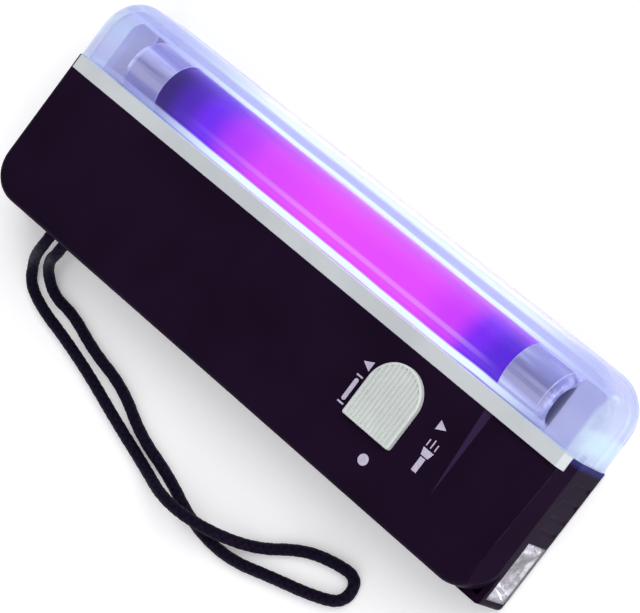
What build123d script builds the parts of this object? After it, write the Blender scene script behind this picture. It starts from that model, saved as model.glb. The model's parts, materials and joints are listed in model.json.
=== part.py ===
from build123d import *
from itertools import product
import math
import os

# Hand-held ultraviolet banknote lamp with an end torch and a wrist cord. Millimetres.
# It lies on its back: +X points to the torch end, +Y from the strap edge to the clear lamp cover, +Z out of
# the front face. The origin is the centre of the outline on the back face.

# ---- driving dimensions ----
length = 160.0
width = 56.0
thickness = 20.0
half = length / 2
strap_edge = -width / 2
wall = 1.6
split_z = 12.7            # joint between the front and the rear half
corner_r = 8.5            # body corners on the strap edge, seen from the front
front_edge_r = 2.0
rear_edge_r = 1.4
body_side = 33.5          # height of the front and back walls above the strap edge
end_wall_side = 37.0      # height of the end walls, where the clear cover starts
end_wall_t = 1.2          # end wall beside the tray
bevel_x = 2.4             # bevel of the torch end
bevel_z = 5.5
gap = 0.1                 # clearance between fixed neighbours
slide_gap = 0.2           # clearance beside sliding pieces

cover_wall = 1.5
cover_corner_r = 10.0
cover_edge_r = 3.0
tab_z = 12.0              # snap tabs at the two ends of the cover
tab_t = 0.9
tab_w = 3.0
tab_side = (34.8, 38.0)

lamp_r = 7.95
lamp_side = 43.0          # lamp axis above the strap edge
lamp_z = thickness / 2
lamp_x = -1.0             # middle of the lamp
lamp_len = 135.9          # cap to cap
cap_len = 12.4
cap_wall = 0.15
cap_shoulder_r = 2.4
glass_wall = 0.8
pin_r = 1.18
pin_len = 7.1
pin_pitch = 5.0
base_r = 5.3
base_t = 1.6              # insulating disc between the pins and the cap
tray_wall = 1.4
tray_groove_r = 9.0
tray_back_side = 30.0     # inner limit of the tray
tail_side = 31.2          # inner ends of the lampholders' brass tails

holder_front = 12.2
holder_back = 1.8
holder_top = 52.0
holder_end_x = 77.2
contact_t = 0.4

knob_w = 14.1
knob_x = 38.75
knob_flat = 13.5
knob_top = 30.2
knob_t = 1.65
knob_lift = 0.15
knob_rim = 0.6
knob_travel = 5.0
rib_count = 12
rib_groove_w = 0.5
rib_groove_depth = 0.3
stem_w = 3.0
stem_len = 4.4
stem_side = 22.0
stem_foot = 16.9

recess_foot = 12.0        # sloping recess beside the switch: starts here and is deepest at the tray
recess_depth = 1.0
recess_x = (57.4, 59.1)   # top and bottom of its sloping step, at the tray
recess_foot_x = 59.3

torch_side = (1.8, 16.8)  # torch window across the end face
torch_z = (1.2, 11.2)
torch_mid = ((torch_side[0] + torch_side[1]) / 2, (torch_z[0] + torch_z[1]) / 2)
torch_pane_t = 0.45
torch_mouth_x = half - 0.65
led_r = 2.5
led_flange_x = 69.6
led_lead_pitch = 2.54
groove_sides = (20.2, 23.6, 27.6, 32.0)
groove_z = (2.0, 11.0)
groove_r = 1.2            # soft vertical grooves of the end face
groove_depth = 0.22

cell_r = 7.25
cell_len = 50.5
cell_starts = (-72.6, -76.6)   # strap-side end of each row of two cells
cell_sides = (9.0, 23.6)
partition_x = 29.8
partition_t = 1.2
cell_rib_spots = (-68.0, -36.0, -8.0, 18.0)
cell_rib_t = 1.2
cell_rib_gap = 0.15
lead_channel_side = 31.0  # the long lamp leads run between here and the tray
left_plate_x = -77.2
right_plate_x = 29.1
plate_z = (5.0, 15.0)
nub_len = 1.2
nub_r = 2.7
spring_r = 3.6
spring_wire_r = 0.35
spring_turns = 3

door_end_x = 26.0
door_side = (3.2, 30.8)
door_foot_side = (2.0, 32.0)
door_foot_x = -74.4
door_foot_z = 2.6
door_rail_t = 1.0
door_rail_w = 2.6
door_rail_end = 24.0
grip_count = 9
grip_pitch = 2.2
grip_side = (11.0, 23.0)
grip_x = 10.0

screw_r = 1.15
screw_head_r = 2.2
screw_head_z = (1.3, 2.75)
screw_end_z = 14.6
screw_spots = ((34.5, 5.2), (34.5, 28.6), (59.2, 5.2), (72.6, 24.8))
boss_r = 2.6
boss_split_z = 6.0

board_x = (32.0, 55.9)
board_side = (2.4, 32.0)
board_z = 5.0
board_t = 1.6
board_top = board_z + board_t
switch_x = knob_x + knob_travel / 2
switch_leg_sides = (stem_side - 2.2, stem_side + 2.2)
switch_leg_x = (switch_x - 6, switch_x - 2, switch_x + 2, switch_x + 6)
inverter_x = 44.0
inverter_side = 10.2

wire_d = 1.2
cord_d = 2.8
cord_exit_x = (-58.2, -53.7)
cord_exit_z = 16.2
cord_clamp_side = 3.0     # depth at which the cord ends in its clamp
clamp_rib_x = (-61.6, -50.3)
clamp_rib_end = 5.6
floor_z = cord_d / 2
hump_z = 6.0              # height at which the cord passes over itself



def side(distance):
    """y of a line at a distance from the strap edge."""
    return strap_edge + distance


def block(x0, x1, s0, s1, z0, z1):
    """Box between two corners; s is measured from the strap edge."""
    size = Box(x1 - x0, s1 - s0, z1 - z0)
    return Pos((x0 + x1) / 2, side((s0 + s1) / 2), (z0 + z1) / 2) * size


def rod_x(radius, x0, x1, s, z):
    """Round bar along X."""
    return Pos((x0 + x1) / 2, side(s), z) * Rot(0, 90, 0) * Cylinder(radius, x1 - x0)


def rod_z(radius, x, s, z0, z1):
    """Round bar along Z."""
    return Pos(x, side(s), (z0 + z1) / 2) * Cylinder(radius, z1 - z0)


def joined(pieces):
    """One solid from overlapping solids."""
    result = pieces[0]
    for piece in pieces[1:]:
        result += piece
    return result


def group(pieces):
    """Separate solids kept together in one sub-part."""
    return Compound(children=list(pieces))


def end_bevel(depth=0.0):
    """Prism that cuts the bevel of the torch end, moved inwards by depth."""
    slope = math.hypot(bevel_x, bevel_z)
    inset = depth * slope / bevel_z
    reach = 10.0
    outline = Polyline(
        (half - bevel_x - inset - reach * bevel_x / bevel_z, thickness + reach),
        (half - inset + reach * bevel_x / bevel_z, thickness - bevel_z - reach),
        (half + 2 * reach, thickness - bevel_z - reach),
        (half + 2 * reach, thickness + reach),
        close=True,
    )
    prism = extrude(Plane.XZ * make_face(outline), amount=2 * width, both=True)
    return prism


def rounded_outline(s0, s1, x0, x1, low_left, low_right, high):
    """Front-view outline with a radius for each strap-side corner and one for both cover-side corners."""
    outline = Polyline((x0, side(s0)), (x1, side(s0)), (x1, side(s1)), (x0, side(s1)), close=True)
    face = make_face(outline)
    corners = (
        (x0, side(s0), low_left),
        (x1, side(s0), low_right),
        (x1, side(s1), high),
        (x0, side(s1), high),
    )
    for x, y, radius in corners:
        if radius:
            corner = face.vertices().sort_by_distance((x, y, 0))[0]
            face = fillet(corner, radius)
    return face


def rim_edges(solid, z):
    """Edges of the rim at height z, without the one that faces the lamp."""
    rim = [edge for edge in solid.edges() if abs(edge.center().Z - z) < 1e-3]
    return [edge for edge in rim if edge.center().Y < side(end_wall_side) - 1e-3]


def body_block(z0, z1, right_r):
    """Solid body outline between two heights."""
    face = rounded_outline(0, end_wall_side, -half, half, corner_r, right_r, 0)
    return Pos(0, 0, z0) * extrude(face, amount=z1 - z0)


def body_room(z0, z1, right_r):
    """Room inside the body walls."""
    inner_r = corner_r - wall
    face = rounded_outline(wall, end_wall_side + 1, wall - half, half - wall, inner_r, right_r, 0)
    return Pos(0, 0, z0) * extrude(face, amount=z1 - z0)


def tray_room():
    """Full-depth gap that the lamp tray fills."""
    return block(end_wall_t - half, half - end_wall_t, body_side, end_wall_side + 1, -1, thickness + 1)


def front_outer():
    solid = body_block(split_z, thickness, corner_r)
    return fillet(rim_edges(solid, thickness), front_edge_r)


def sloping_recess():
    """Wedge taken off the front face beside the switch, with a sloping step along its near edge."""
    top = thickness + 2
    beyond = half + 10
    lip = 0.02
    reach = (end_wall_side + 1 - recess_foot) / (body_side - recess_foot)
    step_top = recess_foot_x + reach * (recess_x[0] - recess_foot_x)
    step_low = recess_foot_x + reach * (recess_x[1] - recess_foot_x)
    deep = thickness - reach * recess_depth
    sections = (
        (recess_foot, recess_foot_x - lip, recess_foot_x, thickness),
        (end_wall_side + 1, step_top, step_low, deep),
    )
    faces = []
    for s, x_top, x_low, z in sections:
        at_foot = lip if s == recess_foot else 0
        outline = Polyline(
            (x_top, side(s), thickness + at_foot), (x_low, side(s), z), (beyond, side(s), z),
            (beyond, side(s), top), (x_top, side(s), top),
            close=True,
        )
        faces.append(make_face(outline))
    return loft(faces, ruled=True)


def front_housing():
    room = body_room(split_z - 1, thickness - wall, corner_r - wall) - end_bevel(wall)
    shell = front_outer() - room - tray_room() - end_bevel() - sloping_recess()
    slot_x0 = knob_x - stem_w / 2 - slide_gap
    slot_x1 = knob_x + stem_w / 2 + slide_gap + knob_travel
    half_slot = stem_len / 2 + slide_gap
    shell -= block(slot_x0, slot_x1, stem_side - half_slot, stem_side + half_slot, split_z, thickness + 1)
    for x, s in screw_spots:
        shell += rod_z(boss_r, x, s, boss_split_z, thickness - wall + 0.2)
        shell -= rod_z(screw_r + 0.05, x, s, boss_split_z - 1, screw_end_z + 0.6)
    for x in cell_rib_spots:
        shell += front_cell_rib(x)
    # Two short ribs beside the clamp of the wrist cord.
    for x in clamp_rib_x:
        rib = block(x - 0.5, x + 0.5, wall - 0.1, clamp_rib_end, split_z + 0.3, thickness - wall + 0.1)
        shell += rib - cell_clearance(x, cell_sides[0])
    return shell - cord_holes()


def cell_clearance(x, s):
    """Room for a cell through a rib at x."""
    return rod_x(cell_r + cell_rib_gap, x - cell_rib_t, x + cell_rib_t, s, lamp_z)


def front_cell_rib(x):
    """Rib that keeps both rows of cells down, shaped to the cells."""
    x0, x1 = x - cell_rib_t / 2, x + cell_rib_t / 2
    rib = block(x0, x1, wall, lead_channel_side, 14.5, thickness - wall + 0.1)
    for s in cell_sides:
        rib -= cell_clearance(x, s)
    return rib


def cord_holes():
    """Two holes through the strap-side wall."""
    holes = [
        Pos(x, side(0), cord_exit_z) * Rot(90, 0, 0) * Cylinder(cord_d / 2 + 0.3, 2 * wall + 0.4)
        for x in cord_exit_x
    ]
    return group(holes)


def rear_outer():
    solid = body_block(0, split_z, 1.2)
    return fillet(rim_edges(solid, 0), rear_edge_r)


def door_way():
    """Space that the battery cover slides through."""
    s0, s1 = door_side[0] - slide_gap, door_side[1] + slide_gap
    plate = block(-half - 1, door_end_x + slide_gap, s0, s1, -1, wall + 0.1)
    s0, s1 = door_foot_side[0] - slide_gap, door_foot_side[1] + slide_gap
    mouth = block(-half - 1, door_foot_x + 1.2, s0, s1, -1, door_foot_z + slide_gap)
    return plate + mouth


def rear_housing():
    shell = rear_outer() - body_room(wall, split_z + 1, 0.6) - tray_room()
    shell += block(partition_x, partition_x + partition_t, wall - 0.2, 32.4, wall - 0.2, split_z)
    shell += block(partition_x, partition_x + partition_t, 2.0, 30.6, split_z - 0.2, 15.4)
    shell += block(66.0, half - wall + 0.2, 17.2, 18.4, wall - 0.2, 12.0)
    shell += block(66.0, 67.0, wall - 0.2, 17.4, wall - 0.2, 3.4)
    for x in cell_rib_spots:
        rib = block(x - cell_rib_t / 2, x + cell_rib_t / 2, wall - 0.2, 3.6, 3.2, split_z - 0.3)
        shell += rib - cell_clearance(x, cell_sides[0])
    for x, s in screw_spots:
        shell += rod_z(boss_r + 0.6, x, s, 0.6, boss_split_z)
        shell -= rod_z(screw_head_r + 0.2, x, s, -1, screw_head_z[1] + 0.05)
        shell -= rod_z(screw_r + 0.15, x, s, 2, boss_split_z + 1)
    shell -= door_way()
    shell -= block(half - wall - 1, half + 1, *torch_side, *torch_z)
    for s in groove_sides:
        shell -= rod_z(groove_r, half + groove_r - groove_depth, s, *groove_z)
    return shell


def battery_cover():
    """Sliding cover: a plate on two rails that run inside the rear wall, with a foot at its outer end."""
    plate = block(-half, door_end_x, *door_side, 0, wall)
    foot = block(-half, door_foot_x, *door_foot_side, 0, door_foot_z)
    cover = (plate + foot) & rear_outer()
    low, high = door_foot_side
    rails = (
        (low, low + door_rail_w, door_side[0] + gap, low + door_rail_w),
        (high - door_rail_w, high, high - door_rail_w, door_side[1] - gap),
    )
    for s0, s1, neck0, neck1 in rails:
        cover += block(door_foot_x - 0.1, door_rail_end, s0, s1, wall + 0.15, wall + 0.15 + door_rail_t)
        cover += block(door_foot_x - 0.1, door_rail_end, neck0, neck1, wall - 0.2, wall + 0.3)
    # Finger grip: short grooves across the sliding direction.
    for i in range(grip_count):
        x = grip_x - i * grip_pitch
        cover -= block(x - 0.5, x + 0.5, *grip_side, -1, 0.6)
    return cover


def cover_shape(inset, edge_r, s_open):
    """Solid of the clear cover's outside, or of its hollow when inset."""
    face = rounded_outline(
        s_open, width - inset, inset - half, half - inset, 0, 0, cover_corner_r - inset
    )
    solid = Pos(0, 0, inset) * extrude(face, amount=thickness - 2 * inset)
    rims = [
        edge for edge in solid.edges()
        if min(abs(edge.center().Z - inset), abs(edge.center().Z - thickness + inset)) < 1e-3
        and edge.center().Y > side(s_open) + 1e-3
    ]
    return fillet(rims, edge_r) - end_bevel(inset)


def lamp_cover():
    hood = cover_shape(0, cover_edge_r, end_wall_side)
    hood -= cover_shape(cover_wall, cover_edge_r - cover_wall, end_wall_side - 1)
    for x0 in (cover_wall - half - 0.05, half - cover_wall - tab_t + 0.05):
        hood += block(x0, x0 + tab_t, *tab_side, tab_z - tab_w / 2, tab_z + tab_w / 2)
    return hood


def lamp_tray():
    """Channel behind the lamp; its outer band shows between the body and the clear cover."""
    x1 = half - end_wall_t - gap
    band = block(-x1, x1, body_side, end_wall_side, 0, thickness)
    x_trough = half - wall - gap
    trough = rod_x(tray_groove_r + tray_wall, -x_trough, x_trough, lamp_side, lamp_z)
    trough &= block(-x1, x1, tray_back_side, end_wall_side, 0, thickness)
    x_hollow = x1 - tray_wall
    s_hollow = end_wall_side - tray_wall
    hollow = block(-x_hollow, x_hollow, tray_back_side, s_hollow, tray_wall, thickness - tray_wall)
    hollow -= rod_x(tray_groove_r + tray_wall, -half, half, lamp_side, lamp_z)
    tray = band + trough - hollow
    reach = lamp_len / 2 + 0.4
    tray -= rod_x(tray_groove_r, lamp_x - reach, lamp_x + reach, lamp_side, lamp_z)
    for sign in (-1, 1):
        tray -= holder_slots(sign)
        x0, x1 = sorted((sign * (half - cover_wall - tab_t - 0.2), sign * half))
        slot_half = tab_w / 2 + 0.3
        tray -= block(x0, x1, tab_side[0] - 0.2, end_wall_side + 1, tab_z - slot_half, tab_z + slot_half)
    return tray - end_bevel()


def beyond_lamp(sign, d0, d1, *rest):
    """Box between two distances beyond the lamp's end face; rest is its s and z range."""
    x_face = lamp_x + sign * lamp_len / 2
    x0, x1 = sorted((x_face + sign * d0, x_face + sign * d1))
    return block(x0, x1, *rest)


def holder_slots(sign):
    """Slots for the pins and the two brass strips of one lampholder."""
    low_end = lamp_side - 4.0
    slots = beyond_lamp(sign, -1, 8.6, lamp_side - 4.4, holder_top + 1, lamp_z - 1.45, lamp_z + 1.45)
    slots += beyond_lamp(sign, 3.4, 5.6, tail_side + 0.3, low_end, lamp_z - 0.35, lamp_z + 0.35)
    slots += beyond_lamp(sign, 7.7, 8.5, tail_side + 0.3, low_end, lamp_z - 1.2, lamp_z + 1.2)
    return slots


def post_edges(post, x):
    """Upright corner edges of a lampholder at x, on the cover side."""
    beside_x = [edge for edge in post.edges().filter_by(Axis.Z) if abs(edge.center().X - x) < 1e-3]
    return [edge for edge in beside_x if edge.center().Y > side(end_wall_side + 1)]


def lampholder(sign):
    """Holder with a channel that the two pins slide into from the cover side."""
    near_x = lamp_x + sign * (lamp_len / 2 + 0.5)
    far_x = sign * holder_end_x
    x0, x1 = sorted((near_x, far_x))
    post = block(x0, x1, end_wall_side, holder_top, holder_back, holder_front)
    post = fillet(post_edges(post, near_x), 2.6)
    post = fillet(post_edges(post, far_x), 4.6)
    rims = [
        edge for edge in post.edges()
        if abs(edge.center().Z - holder_front) < 1e-3 and edge.center().Y > side(end_wall_side + 0.5)
    ]
    return fillet(rims, 0.5) - holder_slots(sign)


def lampholder_contacts(sign):
    """Two brass strips: one beside each pin, with a tail down into the body."""
    low = lamp_side - pin_pitch / 2 - pin_r
    high = lamp_side + pin_pitch / 2 + pin_r
    half_t = contact_t / 2
    lower = beyond_lamp(sign, 1.5, 7.0, low - contact_t, low, lamp_z - 1.2, lamp_z + 1.2)
    lower += beyond_lamp(sign, 3.5, 5.5, tail_side, low - 0.1, lamp_z - half_t, lamp_z + half_t)
    upper = beyond_lamp(sign, 2.0, 8.4, high, high + contact_t, lamp_z - 1.1, lamp_z + 1.1)
    upper += beyond_lamp(sign, 8.4 - contact_t, 8.4, tail_side, high + 0.1, lamp_z - 1.1, lamp_z + 1.1)
    return group((lower, upper))


def lamp_glass():
    x0 = lamp_x - lamp_len / 2 + base_t
    x1 = lamp_x + lamp_len / 2 - base_t
    radius = lamp_r - cap_wall - 0.05
    tube = rod_x(radius, x0, x1, lamp_side, lamp_z)
    return tube - rod_x(radius - glass_wall, x0 + glass_wall, x1 - glass_wall, lamp_side, lamp_z)


def lamp_cap(sign):
    """Thin metal cap with a rounded shoulder and a round recess for the insulating disc."""
    x_face = lamp_x + sign * lamp_len / 2
    x0, x1 = sorted((x_face, x_face - sign * cap_len))
    cap = rod_x(lamp_r, x0, x1, lamp_side, lamp_z)
    rims = cap.edges().filter_by(GeomType.CIRCLE)
    outer = [edge for edge in rims if abs(edge.center().X - x_face) < 1e-3]
    cap = fillet(outer, cap_shoulder_r)
    x0, x1 = sorted((x_face - sign * base_t, x_face - sign * (cap_len + 1)))
    cap -= rod_x(lamp_r - cap_wall, x0, x1, lamp_side, lamp_z)
    x0, x1 = sorted((x_face + sign, x_face - sign * (base_t + 0.4)))
    return cap - rod_x(base_r, x0, x1, lamp_side, lamp_z)


def lamp_base(sign):
    x_face = lamp_x + sign * lamp_len / 2
    x0, x1 = sorted((x_face + sign * 0.2, x_face - sign * base_t))
    disc = rod_x(base_r, x0, x1, lamp_side, lamp_z)
    for step in (-0.5, 0.5):
        disc -= rod_x(pin_r, x0 - 1, x1 + 1, lamp_side + step * pin_pitch, lamp_z)
    return disc


def lamp_pins(sign):
    x_face = lamp_x + sign * lamp_len / 2
    x0, x1 = sorted((x_face - sign * base_t, x_face + sign * pin_len))
    return group([rod_x(pin_r, x0, x1, lamp_side + step * pin_pitch, lamp_z) for step in (-0.5, 0.5)])


def knob_face(inset=0.0):
    """D outline: straight on the strap side, a half circle towards the lamp."""
    radius = knob_w / 2 - inset
    centre = side(knob_top - knob_w / 2)
    flat = side(knob_flat) + inset
    x0, x1 = knob_x - radius, knob_x + radius
    lines = Polyline((x0, centre), (x0, flat), (x1, flat), (x1, centre))
    round_end = CenterArc((knob_x, centre), radius, 0, 180)
    return make_face(lines + round_end)


def knob_pad():
    """Ribbed D-shaped thumb pad."""
    z0 = thickness + knob_lift
    pad = Pos(0, 0, z0) * extrude(knob_face(), amount=knob_t)
    flat_corners = [
        edge for edge in pad.edges().filter_by(Axis.Z) if edge.center().Y < side(knob_flat + 0.1)
    ]
    pad = fillet(flat_corners, 0.5)
    top = [edge for edge in pad.edges() if abs(edge.center().Z - z0 - knob_t) < 1e-3]
    pad = fillet(top, 0.4)
    grip = Pos(0, 0, z0 + knob_t - rib_groove_depth) * extrude(knob_face(knob_rim), amount=1)
    pitch = (knob_w - 2 * knob_rim) / rib_count
    for i in range(rib_count):
        x0 = knob_x + (i - (rib_count - 1) / 2) * pitch - rib_groove_w / 2
        pad -= grip & block(x0, x0 + rib_groove_w, knob_flat, knob_top, z0, thickness + 5)
    return pad


def slider_knob():
    """Thumb pad on a stem with a fork that straddles the switch lever."""
    z0 = thickness + knob_lift
    x0, x1 = knob_x - stem_w / 2, knob_x + stem_w / 2
    stem = block(x0, x1, stem_side - stem_len / 2, stem_side + stem_len / 2, stem_foot, z0 + 0.3)
    foot = block(x0, x1, stem_side - 4.2, stem_side + 4.2, stem_foot, stem_foot + 1.2)
    fork_half_w, fork_half_len = 0.85, 1.35
    fork = block(
        knob_x - fork_half_w, knob_x + fork_half_w, stem_side - fork_half_len, stem_side + fork_half_len,
        stem_foot - 1, stem_foot + 1.1,
    )
    return knob_pad() + stem + foot - fork


def switch_lever():
    return block(knob_x - 0.8, knob_x + 0.8, stem_side - 1.3, stem_side + 1.3, 10.2, stem_foot + 1.0)


def switch_case():
    """Metal-cased slide switch on the circuit board, with a slot for its lever and eight legs."""
    case = block(switch_x - 9.5, switch_x + 9.5, stem_side - 3.5, stem_side + 3.5, board_top, 13.4)
    case -= block(switch_x - 8.7, switch_x + 8.7, stem_side - 2.7, stem_side + 2.7, 10.0, 12.8)
    slot = stem_w / 2 + knob_travel / 2
    case -= block(switch_x - slot, switch_x + slot, stem_side - 1.5, stem_side + 1.5, 12, 14)
    for x, s in product(switch_leg_x, switch_leg_sides):
        case += rod_z(0.4, x, s, board_z - 1.0, board_top + 0.1)
    return case


def circuit_board():
    board = block(*board_x, *board_side, board_z, board_top)
    for x, s in screw_spots[:2]:
        near_edge = board_side[0] if s < stem_side else board_side[1]
        s0, s1 = sorted((near_edge, s + math.copysign(3.5, stem_side - s)))
        board -= block(board_x[0], x + 3.5, s0, s1, board_z, board_top)
    for x, s in product(switch_leg_x, switch_leg_sides):
        board -= rod_z(0.45, x, s, board_z - 1, board_top + 1)
    return board


def about_inverter(half_x, half_s, z0, z1):
    """Box centred on the inverter transformer in the front view."""
    x0, x1 = inverter_x - half_x, inverter_x + half_x
    return block(x0, x1, inverter_side - half_s, inverter_side + half_s, z0, z1)


def inverter_core():
    """Ferrite E core: an outer frame with a middle leg that the bobbin sits on."""
    frame = about_inverter(6.5, 5.4, 8.2, 13.6) - about_inverter(4.3, 3.4, 7, 15)
    return frame + about_inverter(1.6, 3.5, 8.8, 13.0)


def inverter_bobbin():
    """Plastic former: a tube round the middle leg with a flange at each end."""
    flanges = about_inverter(4.2, 3.3, board_top, 15.6) - about_inverter(5, 2.6, board_top - 1, 16)
    return flanges + about_inverter(2.3, 3.3, 8.1, 13.7) - about_inverter(1.7, 4, 8.7, 13.1)


def inverter_winding():
    outer = about_inverter(4.1, 2.5, 7.0, 14.9)
    outer = fillet(outer.edges().filter_by(Axis.Y), 1.6)
    return outer - about_inverter(2.4, 3, 8.0, 13.8)


def drive_transistor():
    """Flat-faced round package on three legs."""
    x, s = 35.6, 14.2
    case = rod_z(2.3, x, s, 8.4, 13.0) - block(x + 1.2, x + 4, s - 4, s + 4, 8, 14)
    for step in (-1.2, 0, 1.2):
        case += rod_z(0.25, x - 0.2, s + step, board_top, 8.6)
    return case


def film_capacitor():
    body = block(51.6, 55.2, 26.2, 31.4, 7.2, 13.0)
    body = fillet(body.edges(), 0.8)
    for s in (27.2, 30.4):
        body += rod_z(0.3, 53.4, s, board_top, 7.6)
    return body


def electrolytic_capacitor():
    can = rod_z(2.5, 53.2, 5.4, board_top + 0.2, 15.0)
    return fillet(can.edges().filter_by(GeomType.CIRCLE), 0.5)


def resistors():
    """Three resistors lying side by side, each with bent legs."""
    pieces = []
    for i in range(3):
        x = 39.2 + 3.0 * i
        body = Pos(x, side(29.0), 8.0) * Rot(90, 0, 0) * Cylinder(1.0, 6.0)
        legs = [rod_z(0.3, x, 29.0 + step, board_top, 7.4) for step in (-2.4, 2.4)]
        pieces.append(joined([body, *legs]))
    return group(pieces)


def battery(index):
    """One AA cell. The two rows point opposite ways, so that all four are in series."""
    row, place = divmod(index, 2)
    x0 = cell_starts[row] + place * cell_len
    sign = 1 if row == 0 else -1
    flat_end = x0 if sign > 0 else x0 + cell_len
    can_end = flat_end + sign * (cell_len - nub_len)
    c0, c1 = sorted((flat_end, can_end))
    can = rod_x(cell_r, c0, c1, cell_sides[row], lamp_z)
    can = fillet(can.edges().filter_by(GeomType.CIRCLE), 0.8)
    n0, n1 = sorted((can_end - sign * 0.2, flat_end + sign * cell_len))
    return can + rod_x(nub_r, n0, n1, cell_sides[row], lamp_z)


def spring(x_tip, x_plate, s):
    """Conical coil spring between a cell and its plate: one wire swept along a helix."""
    reach = x_plate - x_tip
    rise = abs(reach) - 2 * spring_wire_r
    coil = Helix(pitch=abs(reach) / spring_turns, height=rise, radius=spring_r, cone_angle=12)
    section = Plane(origin=coil @ 0, z_dir=coil % 0) * Circle(spring_wire_r)
    wire = sweep(section, path=coil)
    turn = 90 if reach < 0 else -90
    return Pos(x_plate - math.copysign(spring_wire_r, reach), side(s), lamp_z) * Rot(0, turn, 0) * wire


def battery_bridge_spring():
    return spring(cell_starts[0], left_plate_x + contact_t / 2, cell_sides[0])


def battery_negative_spring():
    return spring(cell_starts[1] + 2 * cell_len, right_plate_x - contact_t / 2, cell_sides[1])


def contact_plate(x, s0, s1):
    plate = block(x - contact_t / 2, x + contact_t / 2, s0, s1, *plate_z)
    return fillet(plate.edges().filter_by(Axis.X), 1.0)


def battery_bridge_contact():
    """Plate across both rows, with a raised button under the positive end of the second row."""
    plate = contact_plate(left_plate_x, cell_sides[0] - 3, cell_sides[1] + 5)
    return plate + rod_x(2.2, left_plate_x, cell_starts[1], cell_sides[1], lamp_z)


def battery_positive_contact():
    plate = contact_plate(right_plate_x, cell_sides[0] - 5, cell_sides[0] + 5)
    return plate + rod_x(2.0, cell_starts[0] + 2 * cell_len, right_plate_x, cell_sides[0], lamp_z)


def battery_negative_contact():
    return contact_plate(right_plate_x, cell_sides[1] - 5, cell_sides[1] + 5)


def upright(x, width_y, height_z):
    """Rectangle across the torch axis at x."""
    middle = Plane(origin=(x, side(torch_mid[0]), torch_mid[1]), z_dir=(1, 0, 0))
    return middle * Rectangle(width_y, height_z)


def torch_reflector():
    """Rectangular faceted bowl with a collar in the window opening and a round hole for the lamp."""
    s0, s1 = torch_side[0] + gap, torch_side[1] - gap
    z0, z1 = torch_z[0] + gap, torch_z[1] - gap
    back_x = 71.6
    waist_x = back_x + 2.6
    body = block(back_x - 0.8, half - wall - gap, s0, s1, wall + 0.2, z1)
    body += block(half - wall - 0.5, torch_mouth_x, s0, s1, z0, z1)
    mouth = upright(torch_mouth_x + 0.01, s1 - s0 - 0.7, z1 - z0 - 0.7)
    waist = upright(waist_x, 9.6, 6.6)
    back = upright(back_x, 6.0, 5.6)
    body -= loft([waist, mouth], ruled=True)
    body -= loft([back, waist], ruled=True)
    return body - rod_x(led_r + 0.05, back_x - 2, back_x + 1, *torch_mid)


def torch_led():
    """Round lamp with a domed tip, a flange and two leads."""
    s, z = torch_mid
    dome_x = led_flange_x + 5
    body = rod_x(led_r, led_flange_x, dome_x, s, z) + Pos(dome_x, side(s), z) * Sphere(led_r)
    body += rod_x(led_r + 0.45, led_flange_x, led_flange_x + 1.1, s, z)
    for step in (-0.5, 0.5):
        body += rod_x(0.3, led_flange_x - 2.2, led_flange_x + 0.2, s + step * led_lead_pitch, z)
    return body


def torch_window():
    s0, s1 = torch_side[0] + gap, torch_side[1] - gap
    x1 = half - 0.1
    return block(x1 - torch_pane_t, x1, s0, s1, torch_z[0] + gap, torch_z[1] - gap)


def housing_screws():
    pieces = []
    for x, s in screw_spots:
        head = rod_z(screw_head_r, x, s, *screw_head_z)
        head -= block(x - 1.3, x + 1.3, s - 0.25, s + 0.25, 1, 2.0)
        head -= block(x - 0.25, x + 0.25, s - 1.3, s + 1.3, 1, 2.0)
        pieces.append(head + rod_z(screw_r, x, s, screw_head_z[1] - 0.15, screw_end_z))
    return group(pieces)


def lead(points, radii):
    """Insulated lead: straight runs joined by arcs."""
    placed = [(x, side(s), z) for x, s, z in points]
    path = FilletPolyline(*placed, radius=radii)
    section = Plane(origin=path @ 0, z_dir=path % 0) * Circle(wire_d / 2)
    return sweep(section, path=path)


def tail_tops(sign):
    """Where the two brass tails of a lampholder end, inside the body: x and z of each."""
    x_face = lamp_x + sign * lamp_len / 2
    lower = (x_face + sign * 4.5, lamp_z + contact_t / 2)
    upper = (x_face + sign * (8.4 - contact_t / 2), lamp_z + 1.1)
    return lower, upper


def wires_lamp_left():
    """Two long leads past the cells to the left lampholder."""
    runs = []
    for (tail_x, tail_z), board_at, z in zip(tail_tops(-1), (48.2, 50.2), (16.1, 17.5)):
        runs.append(lead(
            [
                (board_at, 30.9, board_top), (board_at, 30.9, z - 1.5), (board_at - 5, 32.2, z),
                (tail_x + 3, 32.2, z), (tail_x, 31.7, z - 2.0), (tail_x, 31.7, tail_z),
            ],
            [1.5, 3.0, 2.0, 1.0],
        ))
    return group(runs)


def wires_lamp_right():
    """Two short leads to the right lampholder."""
    runs = []
    for (tail_x, tail_z), s, z in zip(tail_tops(1), (24.6, 22.6), (14.4, 16.0)):
        runs.append(lead(
            [
                (55.0, s, board_top), (55.0, s, z - 1.0), (60.0, 31.7, z),
                (tail_x - 2, 31.7, z), (tail_x, 31.7, z - 1.8), (tail_x, 31.7, tail_z),
            ],
            [1.2, 2.5, 1.2, 0.8],
        ))
    return group(runs)


def wires_battery():
    """Leads from the two outer contacts over the partition to the board."""
    over = 16.7
    runs = []
    for plate_side, board_at in ((11.0, (33.0, 11.0)), (20.4, (33.4, 16.8))):
        corners = [
            (right_plate_x, plate_side, plate_z[1]), (right_plate_x, plate_side, over),
            (*board_at, over), (*board_at, board_top),
        ]
        runs.append(lead(corners, [1.0, 1.0]))
    return group(runs)


def wires_torch():
    """Leads from the board to the torch lamp."""
    runs = []
    lead_x = led_flange_x - 2.2
    for step in (-0.5, 0.5):
        s, z = torch_mid[0] + step * led_lead_pitch, torch_mid[1]
        corners = [(54.9, s + 4.0, board_top), (54.9, s + 4.0, 9.0), (61.5, s, z), (lead_x, s, z)]
        runs.append(lead(corners, [1.2, 2.0]))
    return group(runs)


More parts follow.
